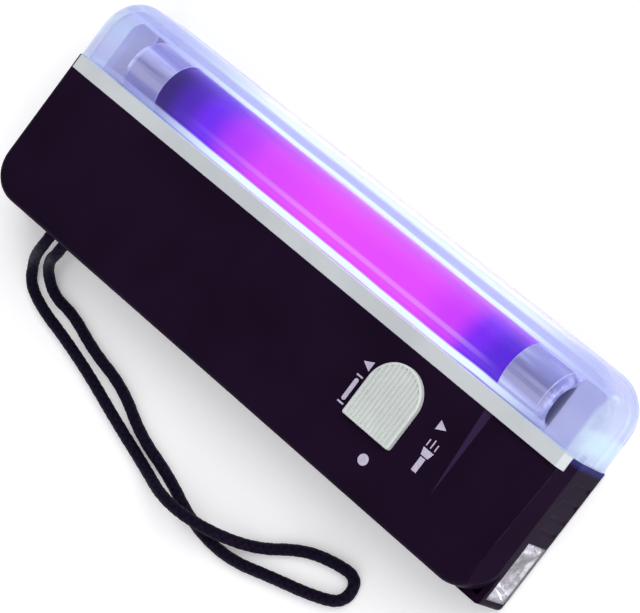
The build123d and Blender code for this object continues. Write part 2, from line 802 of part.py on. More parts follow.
def strap_clamp():
    """Crimp over both ends of the wrist cord, wider than the holes."""
    x0 = cord_exit_x[0] - cord_d / 2 - 0.5
    x1 = cord_exit_x[1] + cord_d / 2 + 0.5
    clamp = block(x0, x1, cord_clamp_side, cord_clamp_side + 1.1, cord_exit_z - 0.8, cord_exit_z + 1.7)
    return fillet(clamp.edges().filter_by(Axis.Y), 0.8)


cord_start = side(cord_clamp_side)

# Route of the wrist cord: out of the left hole, down, along the floor, over itself, round and back.
cord_route = [
    (cord_exit_x[0], cord_start, cord_exit_z),
    (cord_exit_x[0], -30.4, cord_exit_z),
    (-62.4, -34.4, 10.2),
    (-66.0, -37.6, 3.8),
    (-64.6, -42.6, floor_z),
    (-57.4, -45.2, floor_z),
    (-47.5, -46.8, floor_z),
    (-36.0, -49.4, floor_z),
    (-23.6, -53.0, floor_z),
    (-10.2, -56.4, floor_z),
    (1.8, -58.2, hump_z),
    (14.0, -56.9, hump_z),
    (25.0, -53.4, floor_z),
    (34.5, -46.2, floor_z),
    (42.4, -43.5, floor_z),
    (49.6, -42.6, floor_z),
    (50.4, -49.0, floor_z),
    (43.0, -52.4, floor_z),
    (33.0, -55.3, floor_z),
    (21.0, -59.2, floor_z),
    (8.5, -58.6, floor_z),
    (-3.5, -54.2, floor_z),
    (-15.5, -51.8, floor_z),
    (-27.0, -46.2, floor_z),
    (-39.5, -44.4, floor_z),
    (-49.6, -41.2, floor_z),
    (-57.0, -41.0, floor_z),
    (-61.5, -37.4, 3.2),
    (-58.8, -33.4, 9.6),
    (cord_exit_x[1], -30.8, cord_exit_z),
    (cord_exit_x[1], cord_start, cord_exit_z),
]


def corner_radii(route):
    """Largest tidy arc at each corner: 0.45 of the shorter run over the tangent of half the turn."""
    radii = []
    for before, corner, after in zip(route, route[1:], route[2:]):
        run_in = Vector(*corner) - Vector(*before)
        run_out = Vector(*after) - Vector(*corner)
        half_turn = math.radians(run_in.get_angle(run_out)) / 2
        radii.append(0.45 * min(run_in.length, run_out.length) / math.tan(half_turn))
    return radii


def strap_cord():
    radii = corner_radii(cord_route)
    print("wrist cord radii:", [round(radius, 1) for radius in radii])
    path = FilletPolyline(*cord_route, radius=radii)
    section = Plane(origin=path @ 0, z_dir=path % 0) * Circle(cord_d / 2)
    tube = sweep(section, path=path)
    expected = math.pi * (cord_d / 2) ** 2 * path.length
    print(f"wrist cord length {path.length:.1f}, volume {tube.volume:.1f}, expected {expected:.1f}")
    return tube


subparts = {
    "front_housing": front_housing,
    "rear_housing": rear_housing,
    "battery_cover": battery_cover,
    "lamp_cover": lamp_cover,
    "lamp_tray": lamp_tray,
    "lamp_glass": lamp_glass,
    "slider_knob": slider_knob,
    "switch_lever": switch_lever,
    "switch_case": switch_case,
    "circuit_board": circuit_board,
    "inverter_core": inverter_core,
    "inverter_bobbin": inverter_bobbin,
    "inverter_winding": inverter_winding,
    "drive_transistor": drive_transistor,
    "film_capacitor": film_capacitor,
    "electrolytic_capacitor": electrolytic_capacitor,
    "resistors": resistors,
    "battery_bridge_contact": battery_bridge_contact,
    "battery_positive_contact": battery_positive_contact,
    "battery_negative_contact": battery_negative_contact,
    "battery_bridge_spring": battery_bridge_spring,
    "battery_negative_spring": battery_negative_spring,
    "torch_reflector": torch_reflector,
    "torch_led": torch_led,
    "torch_window": torch_window,
    "housing_screws": housing_screws,
    "wires_lamp_left": wires_lamp_left,
    "wires_lamp_right": wires_lamp_right,
    "wires_battery": wires_battery,
    "wires_torch": wires_torch,
    "strap_clamp": strap_clamp,
    "strap_cord": strap_cord,
}
for name, sign in (("left", -1), ("right", 1)):
    subparts[f"lampholder_{name}"] = lambda sign=sign: lampholder(sign)
    subparts[f"lampholder_contacts_{name}"] = lambda sign=sign: lampholder_contacts(sign)
    subparts[f"lamp_cap_{name}"] = lambda sign=sign: lamp_cap(sign)
    subparts[f"lamp_base_{name}"] = lambda sign=sign: lamp_base(sign)
    subparts[f"lamp_pins_{name}"] = lambda sign=sign: lamp_pins(sign)
for index in range(4):
    subparts[f"battery_{index + 1}"] = lambda index=index: battery(index)

os.makedirs("parts", exist_ok=True)
for name, make in subparts.items():
    export_step(make(), f"parts/{name}.step")
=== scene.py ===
"""Hand-held ultraviolet banknote lamp: its looks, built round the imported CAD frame, in metres."""
import json
import math
import random

import bmesh
import bpy
from mathutils import Matrix, Vector


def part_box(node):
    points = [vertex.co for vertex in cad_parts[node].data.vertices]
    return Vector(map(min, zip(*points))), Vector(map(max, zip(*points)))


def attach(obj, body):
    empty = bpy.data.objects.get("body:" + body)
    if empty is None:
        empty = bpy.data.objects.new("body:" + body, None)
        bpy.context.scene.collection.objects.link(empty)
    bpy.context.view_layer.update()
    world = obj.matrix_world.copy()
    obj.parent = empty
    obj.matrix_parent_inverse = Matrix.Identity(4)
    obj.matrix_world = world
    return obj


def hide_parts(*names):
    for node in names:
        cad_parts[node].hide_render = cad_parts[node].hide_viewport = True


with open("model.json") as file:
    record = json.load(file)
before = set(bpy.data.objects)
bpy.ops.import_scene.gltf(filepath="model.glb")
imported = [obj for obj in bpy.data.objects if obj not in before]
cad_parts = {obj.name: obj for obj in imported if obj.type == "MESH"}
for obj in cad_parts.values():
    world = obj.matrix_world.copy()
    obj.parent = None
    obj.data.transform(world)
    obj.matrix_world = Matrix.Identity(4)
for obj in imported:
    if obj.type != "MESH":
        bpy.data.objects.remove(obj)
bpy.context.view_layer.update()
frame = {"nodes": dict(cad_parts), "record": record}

MM = 0.001
FLOOR_HALF = 3.0
METAL_STAIN = 0.1
WIRE_PITCH = 0.32 * MM
BATTERY_PITCH = 0.0505


# ---------------------------------------------------------------- camera, light and floor

def make_camera():
    """Long lens, high above the front face and a little past the torch end."""
    data = bpy.data.cameras.new("camera")
    data.lens = 155.45
    data.sensor_width = 36.0
    data.clip_start = 0.05
    data.clip_end = 20.0
    camera = bpy.data.objects.new("camera", data)
    camera.location = (0.2948, 0.0572, 0.5443)
    camera.rotation_euler = tuple(math.radians(a) for a in (14.0, 25.51, 41.55))
    bpy.context.collection.objects.link(camera)
    bpy.context.scene.camera = camera


def sun(name, towards, strength, softness):
    """Soft parallel light along a direction. Its broad disc doesn't show in the clear hood."""
    data = bpy.data.lights.new(name, "SUN")
    data.energy = strength
    data.angle = math.radians(softness)
    lamp = bpy.data.objects.new(name, data)
    lamp.rotation_euler = Vector(towards).to_track_quat("-Z", "Y").to_euler()
    lamp.visible_glossy = False
    bpy.context.collection.objects.link(lamp)


def panel(name, at, aim, size, power, colour):
    """Softbox at a point, facing another."""
    data = bpy.data.lights.new(name, "AREA")
    data.shape = "RECTANGLE"
    data.size, data.size_y = size
    data.energy = power
    data.color = colour
    lamp = bpy.data.objects.new(name, data)
    lamp.location = at
    lamp.rotation_euler = (Vector(aim) - Vector(at)).to_track_quat("-Z", "Y").to_euler()
    bpy.context.collection.objects.link(lamp)
    return lamp


def make_stage():
    """Soft studio light from a sky that is brightest near the horizon, and a plain pale floor."""
    scene = bpy.context.scene
    scene.view_settings.view_transform = "Standard"
    scene.view_settings.look = "None"
    world = bpy.data.worlds.new("studio")
    world.use_nodes = True
    tree = world.node_tree
    sky = tree.nodes["Background"]
    sky.inputs["Color"].default_value = (0.90, 0.88, 1.0, 1.0)
    up = node(tree, "ShaderNodeSeparateXYZ", {0: place(tree, "Generated")}).outputs[2]
    feed(tree, sky.inputs["Strength"], span(tree, up, 0.05, 0.62, 0.75, 0.14))
    scene.world = world
    sun("sun_key", (-0.30, -0.62, -0.72), 2.4, 70)
    sun("sun_fill", (-0.55, 0.50, -0.67), 1.4, 80)

    mesh = bpy.data.meshes.new("floor")
    corners = [(x * FLOOR_HALF, y * FLOOR_HALF, 0) for x, y in ((-1, -1), (1, -1), (1, 1), (-1, 1))]
    mesh.from_pydata(corners, [], [(0, 1, 2, 3)])
    floor = bpy.data.objects.new("floor", mesh)
    bpy.context.collection.objects.link(floor)
    mat, _, shader = new_material("studio_floor")
    shader.inputs["Base Color"].default_value = (0.93, 0.93, 0.93, 1.0)
    shader.inputs["Roughness"].default_value = 0.9
    shader.inputs["Specular IOR Level"].default_value = 0.1
    shader.inputs["Emission Color"].default_value = (1.0, 1.0, 1.0, 1.0)
    shader.inputs["Emission Strength"].default_value = 0.16
    mesh.materials.append(mat)


# ---------------------------------------------------------------- node helpers

def new_material(name):
    mat = bpy.data.materials.new(name)
    mat.use_nodes = True
    tree = mat.node_tree
    return mat, tree, tree.nodes["Principled BSDF"]


def node(tree, kind, values=(), **settings):
    """Adds a node; values are (input, number or output socket) pairs."""
    made = tree.nodes.new(kind)
    for key, value in settings.items():
        setattr(made, key, value)
    for key, value in dict(values).items():
        feed(tree, made.inputs[key], value)
    return made


def feed(tree, socket, value):
    """Links an output socket to an input, or sets the input's own number or colour."""
    if isinstance(value, bpy.types.NodeSocket):
        tree.links.new(value, socket)
    else:
        socket.default_value = value


def math_node(tree, operation, a, b=0.5):
    return node(tree, "ShaderNodeMath", {0: a, 1: b}, operation=operation).outputs[0]


def span(tree, value, low, high, to_low=0.0, to_high=1.0):
    """Maps a range of values to another, clamped and eased."""
    made = node(
        tree, "ShaderNodeMapRange",
        {"Value": value, "From Min": low, "From Max": high, "To Min": to_low, "To Max": to_high},
        interpolation_type="SMOOTHSTEP",
    )
    return made.outputs["Result"]


def ramp(tree, value, stops):
    """Eased colours along a value; stops are (position, colour) pairs."""
    made = node(tree, "ShaderNodeValToRGB", {"Fac": value})
    made.color_ramp.interpolation = "EASE"
    elements = made.color_ramp.elements
    while len(elements) < len(stops):
        elements.new(0.5)
    for element, (position, colour) in zip(elements, stops):
        element.position = position
        element.color = (*colour, 1.0)
    return made.outputs["Color"]


def mix(tree, factor, a, b):
    """Colour a where the factor is 0 and b where it is 1."""
    made = node(tree, "ShaderNodeMix", data_type="RGBA")
    feed(tree, made.inputs["Factor"], factor)
    for key, value in ((6, a), (7, b)):
        feed(tree, made.inputs[key], value if isinstance(value, bpy.types.NodeSocket) else (*value, 1.0))
    return made.outputs[2]


def place(tree, kind="Object"):
    """The shaded point's coordinates."""
    return node(tree, "ShaderNodeTexCoord").outputs[kind]


def axes(tree):
    """The three object coordinates, in metres."""
    parts = node(tree, "ShaderNodeSeparateXYZ", {0: place(tree)}).outputs
    return parts[0], parts[1], parts[2]


def noise(tree, scale, detail=3.0, rough=0.5, stretch=None):
    where = place(tree)
    if stretch:
        where = node(tree, "ShaderNodeMapping", {"Vector": where, "Scale": stretch}).outputs[0]
    return node(
        tree, "ShaderNodeTexNoise",
        {"Vector": where, "Scale": scale, "Detail": detail, "Roughness": rough},
    ).outputs["Fac"]


def bump(tree, height, distance, normal=None):
    made = node(tree, "ShaderNodeBump", {"Height": height, "Distance": distance, "Strength": 1.0})
    if normal is not None:
        feed(tree, made.inputs["Normal"], normal)
    return made.outputs[0]


def soft_edges(tree, radius):
    """Normal that rounds sharp edges, and a mask that is 1 on them."""
    rounded = node(tree, "ShaderNodeBevel", {"Radius": radius}, samples=6).outputs[0]
    flat = node(tree, "ShaderNodeNewGeometry").outputs["Normal"]
    likeness = node(tree, "ShaderNodeVectorMath", {0: rounded, 1: flat}, operation="DOT_PRODUCT")
    return rounded, span(tree, likeness.outputs["Value"], 0.995, 0.86)


# ---------------------------------------------------------------- materials

def moulded(name, colour, roughness=0.42, grain=0.6, edge=None, edge_radius=0.25, tint=0.12, specular=0.5):
    """Moulded plastic: fine spark-eroded grain, faint cloudy tint, hand polish, and paler edges that are
    partly wear and partly a painted highlight.
    """
    mat, tree, shader = new_material(name)
    normal, edges = soft_edges(tree, edge_radius * MM)
    cloud = noise(tree, 45.0, 4.0)
    darker = tuple(c * (1 - tint) for c in colour)
    lighter = tuple(min(1.0, c * (1 + tint)) for c in colour)
    base = mix(tree, span(tree, cloud, 0.35, 0.65), darker, lighter)
    if edge is not None:
        # Paler edges: partly real wear, partly a painted highlight along the lit edges.
        worn_and_highlit_edges = math_node(tree, "MULTIPLY", edges, span(tree, noise(tree, 240.0, 5.0, 0.7), 0.38, 0.66))
        base = mix(tree, worn_and_highlit_edges, base, edge)
    feed(tree, shader.inputs["Base Color"], base)
    polish = span(tree, noise(tree, 28.0, 5.0, 0.6), 0.3, 0.7, roughness - 0.05, roughness + 0.07)
    feed(tree, shader.inputs["Roughness"], polish)
    pits = node(
        tree, "ShaderNodeTexVoronoi", {"Vector": place(tree), "Scale": 3400.0}, feature="SMOOTH_F1"
    ).outputs["Distance"]
    height = math_node(tree, "ADD", pits, noise(tree, 2600.0, 2.0))
    feed(tree, shader.inputs["Normal"], bump(tree, height, 0.012 * MM * grain, normal))
    shader.inputs["Specular IOR Level"].default_value = specular
    return mat


def lamp_cap_metal():
    """Thin bright cap: soft lilac streaks along it, partly drawn metal and partly painted reflected bands,
    paler edges painted as highlights, and the lamp's violet painted on it as a glow.
    """
    mat, tree, shader = new_material("cap_aluminium")
    normal, edges = soft_edges(tree, 0.3 * MM)
    streaks = noise(tree, 260.0, 3.0, 0.55, (0.06, 1.0, 1.0))
    # The light and dark lilac streaks are partly drawn metal and partly painted reflections of the lamp's
    # light.
    base = mix(tree, span(tree, streaks, 0.40, 0.60), (0.30, 0.28, 0.48), (0.84, 0.82, 0.96))
    # Painted highlight: the edges are painted near white.
    feed(tree, shader.inputs["Base Color"], mix(tree, edges, base, (0.95, 0.94, 1.0)))
    shader.inputs["Metallic"].default_value = 0.72
    feed(tree, shader.inputs["Roughness"], span(tree, streaks, 0.3, 0.7, 0.17, 0.27))
    feed(tree, shader.inputs["Normal"], bump(tree, streaks, 0.02 * MM, normal))
    # Painted light: a violet emission stands in for the lamp's light falling on the cap.
    feed(tree, shader.inputs["Emission Color"], mix(tree, streaks, (0.20, 0.20, 0.62), (0.40, 0.40, 0.80)))
    shader.inputs["Emission Strength"].default_value = 0.36
    return mat


def housing_plastic():
    """Dark aubergine plastic, with the hood's blue light painted as a glow on the top of the torch-end wall.
    """
    mat = moulded("body_plastic", (0.0112, 0.0048, 0.0160), 0.42, 0.7, (0.05, 0.035, 0.065), 0.3, 0.12, 0.02)
    tree = mat.node_tree
    x, y, _ = axes(tree)
    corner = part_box("rear_housing")[1]
    # Painted light: a faint, uneven blue emission on the end wall beside the hood stands in for the lamp's
    # light spilling onto it.
    beside_hood = span(tree, y, corner.y - 2.0 * MM, corner.y - 0.4 * MM)
    end_wall = span(tree, x, corner.x - 4 * MM, corner.x - 2 * MM)
    uneven = span(tree, noise(tree, 220.0, 3.0), 0.3, 0.7, 0.6, 1.0)
    shader = tree.nodes["Principled BSDF"]
    shader.inputs["Specular Tint"].default_value = (0.50, 0.26, 0.66, 1.0)
    shader.inputs["Emission Color"].default_value = (0.10, 0.13, 0.80, 1.0)
    feed(tree, shader.inputs["Emission Strength"], times(tree, beside_hood, end_wall, uneven, 0.26))
    # Painted highlight: the sloping step of the recess, which faces the torch end, is painted paler as if it
    # catches the light.
    normal = node(tree, "ShaderNodeNewGeometry").outputs["Normal"]
    facing_end = span(tree, node(tree, "ShaderNodeSeparateXYZ", {0: normal}).outputs[0], 0.1, 0.35)
    past_start, before_end = span(tree, x, 55 * MM, 56.5 * MM), span(tree, x, 63 * MM, 60.5 * MM)
    step = times(tree, past_start, before_end, facing_end)
    plain = shader.inputs["Base Color"].links[0].from_socket
    feed(tree, shader.inputs["Base Color"], mix(tree, step, plain, (0.027, 0.015, 0.045)))
    return mat


def metal(name, colour, roughness=0.28, grain=(1.0, 1.0, 1.0), brushed=0.0):
    """Plated or bare metal: drawn lines along the stretched axis, with faint staining."""
    mat, tree, shader = new_material(name)
    normal, edges = soft_edges(tree, 0.12 * MM)
    stains = span(tree, noise(tree, 160.0, 5.0, 0.6), 0.35, 0.7)
    base = mix(tree, stains, colour, tuple(c * (1 - METAL_STAIN) for c in colour))
    feed(tree, shader.inputs["Base Color"], mix(tree, edges, base, tuple(min(1.0, c * 1.25) for c in colour)))
    shader.inputs["Metallic"].default_value = 1.0
    lines = noise(tree, 1500.0, 4.0, 0.6, grain)
    feed(tree, shader.inputs["Roughness"], span(tree, lines, 0.3, 0.7, roughness * 0.8, roughness * 1.3))
    feed(tree, shader.inputs["Normal"], bump(tree, lines, (0.002 + 0.006 * brushed) * MM, normal))
    return mat


def band(tree, value, centre, half, soft):
    """1 within half of the centre, fading to 0 over soft."""
    away = math_node(tree, "ABSOLUTE", math_node(tree, "SUBTRACT", value, centre))
    return span(tree, away, half + soft, half)


def highest(tree, *values):
    top = values[0]
    for value in values[1:]:
        top = math_node(tree, "MAXIMUM", top, value)
    return top


def times(tree, *values):
    product = values[0]
    for value in values[1:]:
        product = math_node(tree, "MULTIPLY", product, value)
    return product


def hood_plastic():
    """Clear polycarbonate with painted light: emission placed by position stands in for the lamp's light
    piped through it, bright along its edges, faint lilac elsewhere.
    """
    mat, tree, shader = new_material("clear_hood")
    tree.nodes.remove(shader)
    low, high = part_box("lamp_cover")
    x, y, z = axes(tree)
    normal, edges = soft_edges(tree, 0.8 * MM)
    waver = math_node(tree, "MULTIPLY", math_node(tree, "SUBTRACT", noise(tree, 35.0, 3.0), 0.5), 0.7)
    # Distances in millimetres: inwards from the far wall, along from the middle, and in from the nearer end.
    inwards = math_node(tree, "DIVIDE", math_node(tree, "SUBTRACT", high.y, y), MM)
    inwards = math_node(tree, "ADD", inwards, waver)
    along = math_node(tree, "DIVIDE", math_node(tree, "SUBTRACT", x, (low.x + high.x) / 2), MM)
    half_length = (high.x - low.x) / 2 / MM
    from_end = math_node(tree, "SUBTRACT", half_length, math_node(tree, "ABSOLUTE", along))
    front = span(tree, z, 11 * MM, 16 * MM)
    middle = times(tree, span(tree, along, -64.0, -24.0), span(tree, along, 74.0, 46.0))
    ends = span(tree, from_end, 29.0, 12.0)

    # Painted light: the bands, rims and haze below are emission placed by position on the hood, standing in
    # for the lamp's light piped through the plastic and the bright lines it makes.
    lip_light = math_node(tree, "ADD", times(tree, middle, 0.6), 0.3)
    lip = times(tree, band(tree, inwards, 17.8, 0.45, 0.6), lip_light, front)
    inner_line = times(tree, band(tree, inwards, 4.0, 0.25, 0.5), 0.75, front)
    far_band = times(tree, span(tree, inwards, 2.2, 1.5), span(tree, z, 9 * MM, 17 * MM, 0.20, 0.70))
    painted_valley = times(tree, band(tree, inwards, 2.9, 0.4, 0.7), 0.5, front)
    rim_glow_streaks = span(tree, noise(tree, 110.0, 4.0, 0.6, (1.0, 1.0, 0.15)), 0.3, 0.7, 0.2, 0.55)
    rims = highest(tree, times(tree, edges, 0.62), times(tree, span(tree, from_end, 3.4, 2.0), rim_glow_streaks))
    back = times(tree, span(tree, z, 5 * MM, 2 * MM), 0.4)
    past_caps = times(tree, span(tree, from_end, 10.8, 8.6), 0.24)
    painted_light_patches = highest(tree, times(tree, ends, 0.02), past_caps, 0.015)
    cover = highest(tree, lip, inner_line, far_band, painted_valley, rims, back, painted_light_patches)
    streaks = noise(tree, 90.0, 4.0, 0.6, (0.12, 1.0, 1.0))
    cover = times(tree, cover, span(tree, streaks, 0.25, 0.6, 0.86, 1.06))

    lilac = mix(tree, span(tree, streaks, 0.35, 0.65), (0.38, 0.42, 0.90), (0.52, 0.57, 0.97))
    pale = mix(tree, middle, (0.50, 0.56, 1.0), (0.86, 1.02, 1.04))
    cyan = mix(tree, middle, (0.66, 0.88, 1.02), (0.90, 1.04, 1.04))
    glow = mix(tree, span(tree, highest(tree, lip, inner_line, far_band), 0.2, 0.6), lilac, pale)
    glow = mix(tree, span(tree, rims, 0.2, 0.5), glow, cyan)
    light = node(tree, "ShaderNodeEmission", {"Color": glow, "Strength": 1.0}).outputs[0]
    clear = node(tree, "ShaderNodeBsdfTransparent", {"Color": (0.975, 0.98, 1.0, 1.0)}).outputs[0]
    body = node(tree, "ShaderNodeMixShader", {0: cover, 1: clear, 2: light}).outputs[0]
    waves = bump(tree, noise(tree, 55.0, 2.0), 0.03 * MM, normal)
    polish = span(tree, noise(tree, 60.0, 4.0), 0.35, 0.7, 0.03, 0.09)
    gloss = node(
        tree, "ShaderNodeBsdfGlossy", {"Color": (1.0, 1.0, 1.0, 1.0), "Roughness": polish, "Normal": waves}
    ).outputs[0]
    mirror = times(tree, node(tree, "ShaderNodeFresnel", {"IOR": 1.42, "Normal": waves}).outputs[0], 0.55)
    surface = node(tree, "ShaderNodeMixShader", {0: mirror, 1: body, 2: gloss}).outputs[0]
    tree.links.new(surface, tree.nodes["Material Output"].inputs["Surface"])
    return mat


def lamp_glow():
    """Lit filter glass: magenta in the middle, violet then dark indigo by the caps, with a thin painted
    highlight.
    """
    mat, tree, shader = new_material("lamp_glow")
    x, y, z = axes(tree)
    low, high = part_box("lamp_glass")
    along = math_node(tree, "DIVIDE", math_node(tree, "SUBTRACT", x, low.x), high.x - low.x)
    drift = math_node(tree, "MULTIPLY", math_node(tree, "SUBTRACT", noise(tree, 40.0, 2.0), 0.5), 0.03)
    along = math_node(tree, "ADD", along, drift)
    body = ramp(
        tree, along,
        [
            (0.00, (0.020, 0.006, 0.12)), (0.095, (0.026, 0.006, 0.16)), (0.14, (0.065, 0.008, 0.46)),
            (0.20, (0.16, 0.012, 0.90)), (0.27, (0.50, 0.032, 1.0)), (0.34, (0.76, 0.055, 1.0)),
            (0.50, (0.90, 0.065, 1.0)), (0.70, (0.85, 0.060, 1.0)), (0.79, (0.66, 0.035, 1.0)),
            (0.85, (0.20, 0.010, 0.93)), (0.90, (0.095, 0.006, 0.72)), (1.00, (0.030, 0.005, 0.30)),
        ],
    )
    middle_y, middle_z = (low.y + high.y) / 2, (low.z + high.z) / 2
    angle = node(
        tree, "ShaderNodeMath",
        {0: math_node(tree, "SUBTRACT", y, middle_y), 1: math_node(tree, "SUBTRACT", z, middle_z)},
        operation="ARCTAN2",
    ).outputs[0]
    flank = span(tree, math_node(tree, "ABSOLUTE", math_node(tree, "SUBTRACT", angle, 0.02)), 0.55, 1.25)
    violet = mix(tree, span(tree, along, 0.16, 0.5), (0.11, 0.02, 0.66), (0.50, 0.11, 0.96))
    glow = mix(tree, times(tree, flank, 0.55), body, violet)
    # Painted highlight: a thin pale streak along the glass stands in for a reflection on it.
    painted_gleam = band(tree, angle, -0.22, 0.03, 0.08)
    lit = times(tree, span(tree, along, 0.10, 0.5), span(tree, along, 0.93, 0.8), 0.26)
    glow = mix(tree, times(tree, painted_gleam, lit), glow, (1.0, 0.72, 1.0))
    feed(tree, shader.inputs["Emission Color"], glow)
    shader.inputs["Emission Strength"].default_value = 1.0
    glass = mix(tree, noise(tree, 200.0), (0.006, 0.001, 0.02), (0.012, 0.002, 0.035))
    feed(tree, shader.inputs["Base Color"], glass)
    feed(tree, shader.inputs["Roughness"], span(tree, noise(tree, 90.0, 3.0), 0.3, 0.7, 0.08, 0.16))
    feed(tree, shader.inputs["Normal"], bump(tree, noise(tree, 120.0, 2.0), 0.01 * MM))
    shader.inputs["Specular IOR Level"].default_value = 0.35
    return mat


def clear_part(name, colour, roughness=0.04):
    """Clear moulded plastic or epoxy with paler edges."""
    mat, tree, shader = new_material(name)
    normal, edges = soft_edges(tree, 0.2 * MM)
    feed(tree, shader.inputs["Base Color"], mix(tree, edges, colour, (0.75, 0.78, 0.85)))
    shader.inputs["Transmission Weight"].default_value = 1.0
    shader.inputs["IOR"].default_value = 1.49
    polish = span(tree, noise(tree, 300.0, 3.0), 0.3, 0.7, roughness * 0.5, roughness * 2)
    feed(tree, shader.inputs["Roughness"], polish)
    feed(tree, shader.inputs["Normal"], bump(tree, noise(tree, 260.0, 2.0), 0.01 * MM, normal))
    return mat


def braid_material():
    """Black nylon braid: fibres along each strand, painted shade in the valleys of the weave, with a soft
    sheen.
    """
    mat, tree, shader = new_material("braided_nylon")
    uv = node(tree, "ShaderNodeUVMap", uv_map="braid").outputs[0]
    fibres = node(
        tree, "ShaderNodeTexNoise",
        {"Vector": node(tree, "ShaderNodeMapping", {"Vector": uv, "Scale": (16.0, 2.2, 1.0)}).outputs[0],
         "Scale": 1.6, "Detail": 4.0, "Roughness": 0.7},
    ).outputs["Fac"]
    height = node(tree, "ShaderNodeAttribute", attribute_name="weave").outputs["Fac"]
    # Painted shade: the colour darkens where the weave is low.
    shaded_weave = mix(tree, span(tree, height, 0.2, 0.95), (0.002, 0.001, 0.004), (0.0075, 0.0040, 0.017))
    loose = span(tree, fibres, 0.45, 0.8, 0.0, 0.5)
    feed(tree, shader.inputs["Base Color"], mix(tree, loose, shaded_weave, (0.022, 0.015, 0.045)))
    feed(tree, shader.inputs["Roughness"], span(tree, fibres, 0.2, 0.8, 0.5, 0.75))
    shader.inputs["Sheen Weight"].default_value = 0.02
    shader.inputs["Sheen Roughness"].default_value = 0.4
    shader.inputs["Specular IOR Level"].default_value = 0.10
    feed(tree, shader.inputs["Normal"], bump(tree, fibres, 0.03 * MM))
    return mat


def battery_jacket():
    """Printed steel jacket: dark with one plain band at the positive end, and bare steel at the ends."""
    mat, tree, shader = new_material("battery_jacket")
    x = axes(tree)[0]
    cells = math_node(tree, "MULTIPLY", math_node(tree, "ADD", x, 1.0), 1 / BATTERY_PITCH)
    stripe = band(tree, math_node(tree, "FRACT", cells), 0.42, 0.108, 0.007)
    wear = span(tree, noise(tree, 500.0, 5.0, 0.7), 0.66, 0.74)
    print_colour = mix(tree, stripe, (0.030, 0.034, 0.045), (0.32, 0.20, 0.05))
    feed(tree, shader.inputs["Base Color"], mix(tree, wear, print_colour, (0.5, 0.5, 0.5)))
    shader.inputs["Metallic"].default_value = 0.55
    feed(tree, shader.inputs["Roughness"], span(tree, noise(tree, 90.0, 4.0), 0.3, 0.7, 0.24, 0.36))
    feed(tree, shader.inputs["Normal"], bump(tree, noise(tree, 900.0, 3.0), 0.006 * MM))
    return mat


def laminate():
    """Phenolic board: layered brown paper with bare copper tracks on it."""
    mat, tree, shader = new_material("board_laminate")
    paper = mix(tree, noise(tree, 700.0, 5.0, 0.7, (1.0, 6.0, 1.0)), (0.20, 0.115, 0.04), (0.36, 0.23, 0.09))
    where = node(tree, "ShaderNodeMapping", {"Vector": place(tree), "Scale": (1.0, 1.6, 0.2)}).outputs[0]
    cells = node(tree, "ShaderNodeTexVoronoi", {"Vector": where, "Scale": 260.0}, feature="DISTANCE_TO_EDGE")
    tracks = span(tree, cells.outputs["Distance"], 0.16, 0.2)
    board = mix(tree, times(tree, tracks, 0.5), paper, (0.30, 0.33, 0.22))
    feed(tree, shader.inputs["Base Color"], board)
    shader.inputs["Roughness"].default_value = 0.45
    feed(tree, shader.inputs["Normal"], bump(tree, tracks, 0.03 * MM))
    return mat


def wound_wire(name, colour, axis):
    """Enamelled wire in close turns along an axis, with painted shade between the turns."""
    mat, tree, shader = new_material(name)
    coordinate = axes(tree)[axis]
    turn = math_node(tree, "SINE", math_node(tree, "MULTIPLY", coordinate, 2 * math.pi / WIRE_PITCH))
    # Painted shade: the colour darkens between the turns.
    painted_valley = tuple(c * 0.35 for c in colour)
    feed(tree, shader.inputs["Base Color"], mix(tree, span(tree, turn, -1.0, 1.0), painted_valley, colour))
    shader.inputs["Metallic"].default_value = 0.7
    feed(tree, shader.inputs["Roughness"], span(tree, noise(tree, 400.0), 0.3, 0.7, 0.25, 0.4))
    feed(tree, shader.inputs["Normal"], bump(tree, turn, 0.09 * MM))
    return mat


def foil():
    """Metallised plastic of the torch bowl, bright and a little wavy, with dark patches that are painted
    reflections.
    """
    mat, tree, shader = new_material("torch_foil")
    painted_light_patches = span(tree, noise(tree, 500.0, 4.0, 0.6), 0.35, 0.7)
    # Painted reflection: dark patches stand in for the dark surroundings reflected in the creases.
    feed(tree, shader.inputs["Base Color"], mix(tree, painted_light_patches, (0.80, 0.78, 0.82), (0.20, 0.18, 0.22)))
    shader.inputs["Metallic"].default_value = 1.0
    feed(tree, shader.inputs["Roughness"], span(tree, painted_light_patches, 0.0, 1.0, 0.05, 0.14))
    feed(tree, shader.inputs["Normal"], bump(tree, noise(tree, 420.0, 3.0), 0.30 * MM))
    return mat


